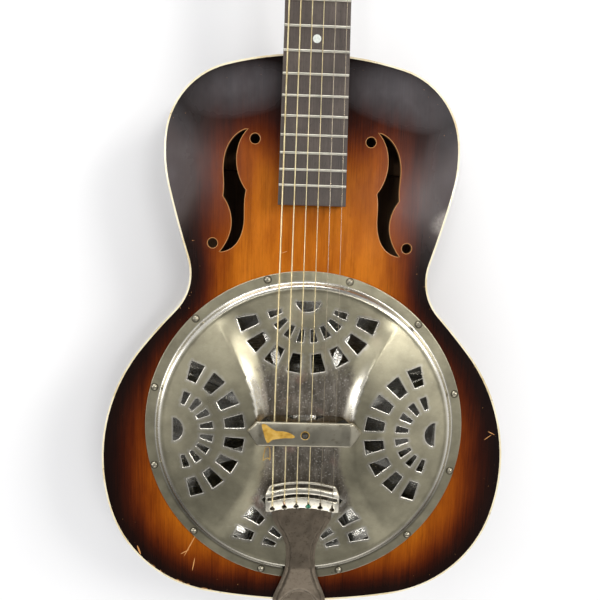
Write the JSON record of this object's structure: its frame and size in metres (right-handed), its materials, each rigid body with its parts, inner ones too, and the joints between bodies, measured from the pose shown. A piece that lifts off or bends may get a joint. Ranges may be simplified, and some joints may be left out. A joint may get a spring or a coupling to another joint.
{
  "type": "resonator guitar",
  "caption": "Round-neck wooden resonator guitar with a domed metal coverplate, f-holes, trapeze tailpiece and geared tuners that turn.",
  "frame": {"origin": "on the back's outer face, straight below the centre of the resonator", "axes": "+Z out of the soundboard, +Y towards the head, +X to the treble side; the guitar lies on its back"},
  "size_m": [0.3618, 0.9929, 0.1045],
  "materials": {
    "sunburst_top": "satin sunburst lacquer, honey centre to black-brown edge",
    "dark_lacquer": "satin black-brown lacquer",
    "bare_wood": "unfinished inner wood",
    "maple": "bare hard maple",
    "neck_wood": "dark brown satin lacquer",
    "fingerboard": "ebonised hardwood, oiled",
    "binding": "aged white celluloid",
    "nickel_plate": "worn dull nickel plate",
    "bright_nickel": "polished nickel",
    "aluminium": "spun and cast aluminium",
    "dull_steel": "stamped steel, plating worn off",
    "fret_metal": "nickel silver",
    "pearl": "mother of pearl",
    "bone": "bone",
    "bronze": "bronze-wound string",
    "string_steel": "plain steel string",
    "tuner_steel": "nickel-plated steel",
    "gear_brass": "brass gear",
    "ivoroid": "cream celluloid",
    "black_plastic": "turned black end pin"
  },
  "bodies": {
    "root": {"soundboard": "sunburst_top", "back": "dark_lacquer", "bass_side": "dark_lacquer", "treble_side": "dark_lacquer", "neck_block": "bare_wood", "tail_block": "bare_wood", "top_linings": "bare_wood", "back_linings": "bare_wood", "top_binding": "binding", "back_binding": "binding", "braces": "bare_wood", "soundwell": "bare_wood", "resonator_cone": "aluminium", "spider": "aluminium", "saddles": "maple", "coverplate": "nickel_plate", "palm_rest": "nickel_plate", "coverplate_screws": "bright_nickel", "tailpiece_strap": "dull_steel", "tailpiece_comb": "bright_nickel", "tailpiece_screws": "bright_nickel", "end_pin": "black_plastic", "neck": "neck_wood", "fingerboard": "fingerboard", "frets": "fret_metal", "fingerboard_dots": "pearl", "nut": "bone", "headstock_veneer": "dark_lacquer", "wound_strings": "bronze", "plain_strings": "string_steel", "bass_tuner_plate": "tuner_steel", "treble_tuner_plate": "tuner_steel", "tuner_plate_screws": "tuner_steel", "tuner_bushings": "bright_nickel"},
    "bridge_screw": {"tension_screw": "tuner_steel"},
    "string_post_1": {"tuner_post_1": "tuner_steel", "tuner_gear_1": "gear_brass"},
    "tuning_key_1": {"tuner_worm_1": "tuner_steel", "tuner_button_1": "ivoroid"},
    "string_post_2": {"tuner_post_2": "tuner_steel", "tuner_gear_2": "gear_brass"},
    "tuning_key_2": {"tuner_worm_2": "tuner_steel", "tuner_button_2": "ivoroid"},
    "string_post_3": {"tuner_post_3": "tuner_steel", "tuner_gear_3": "gear_brass"},
    "tuning_key_3": {"tuner_worm_3": "tuner_steel", "tuner_button_3": "ivoroid"},
    "string_post_4": {"tuner_post_4": "tuner_steel", "tuner_gear_4": "gear_brass"},
    "tuning_key_4": {"tuner_worm_4": "tuner_steel", "tuner_button_4": "ivoroid"},
    "string_post_5": {"tuner_post_5": "tuner_steel", "tuner_gear_5": "gear_brass"},
    "tuning_key_5": {"tuner_worm_5": "tuner_steel", "tuner_button_5": "ivoroid"},
    "string_post_6": {"tuner_post_6": "tuner_steel", "tuner_gear_6": "gear_brass"},
    "tuning_key_6": {"tuner_worm_6": "tuner_steel", "tuner_button_6": "ivoroid"}
  },
  "joints": [
    {"name": "tension_screw_turn", "type": "hinge", "parent": "root", "child": "bridge_screw", "pos_m": [0, 0, 0.086], "axis": [0, 0, 1], "range_deg": [-180, 180]},
    {"name": "tuning_key_1_turn", "type": "hinge", "parent": "root", "child": "tuning_key_1", "pos_m": [0.024, 0.69634, 0.05689], "axis": [1, 0, 0], "continuous": true},
    {"name": "string_post_1_turn", "type": "hinge", "parent": "root", "child": "string_post_1", "pos_m": [0.024, 0.68954, 0.05858], "axis": [0, 0.2419, 0.9703], "continuous": true},
    {"name": "tuning_key_2_turn", "type": "hinge", "parent": "root", "child": "tuning_key_2", "pos_m": [0.0248, 0.73515, 0.04721], "axis": [1, 0, 0], "continuous": true},
    {"name": "string_post_2_turn", "type": "hinge", "parent": "root", "child": "string_post_2", "pos_m": [0.0248, 0.72835, 0.0489], "axis": [0, 0.2419, 0.9703], "continuous": true},
    {"name": "tuning_key_3_turn", "type": "hinge", "parent": "root", "child": "tuning_key_3", "pos_m": [0.026, 0.77396, 0.03753], "axis": [1, 0, 0], "continuous": true},
    {"name": "string_post_3_turn", "type": "hinge", "parent": "root", "child": "string_post_3", "pos_m": [0.026, 0.76717, 0.03923], "axis": [0, 0.2419, 0.9703], "continuous": true},
    {"name": "tuning_key_4_turn", "type": "hinge", "parent": "root", "child": "tuning_key_4", "pos_m": [-0.026, 0.77396, 0.03753], "axis": [1, 0, 0], "continuous": true},
    {"name": "string_post_4_turn", "type": "hinge", "parent": "root", "child": "string_post_4", "pos_m": [-0.026, 0.76717, 0.03923], "axis": [0, 0.2419, 0.9703], "continuous": true},
    {"name": "tuning_key_5_turn", "type": "hinge", "parent": "root", "child": "tuning_key_5", "pos_m": [-0.0248, 0.73515, 0.04721], "axis": [1, 0, 0], "continuous": true},
    {"name": "string_post_5_turn", "type": "hinge", "parent": "root", "child": "string_post_5", "pos_m": [-0.0248, 0.72835, 0.0489], "axis": [0, 0.2419, 0.9703], "continuous": true},
    {"name": "tuning_key_6_turn", "type": "hinge", "parent": "root", "child": "tuning_key_6", "pos_m": [-0.024, 0.69634, 0.05689], "axis": [1, 0, 0], "continuous": true},
    {"name": "string_post_6_turn", "type": "hinge", "parent": "root", "child": "string_post_6", "pos_m": [-0.024, 0.68954, 0.05858], "axis": [0, 0.2419, 0.9703], "continuous": true}
  ],
  "couplings": [
    {"joint": "string_post_1_turn", "follows": "tuning_key_1_turn", "ratio": 0.071429},
    {"joint": "string_post_2_turn", "follows": "tuning_key_2_turn", "ratio": 0.071429},
    {"joint": "string_post_3_turn", "follows": "tuning_key_3_turn", "ratio": 0.071429},
    {"joint": "string_post_4_turn", "follows": "tuning_key_4_turn", "ratio": 0.071429},
    {"joint": "string_post_5_turn", "follows": "tuning_key_5_turn", "ratio": 0.071429},
    {"joint": "string_post_6_turn", "follows": "tuning_key_6_turn", "ratio": 0.071429}
  ]
}
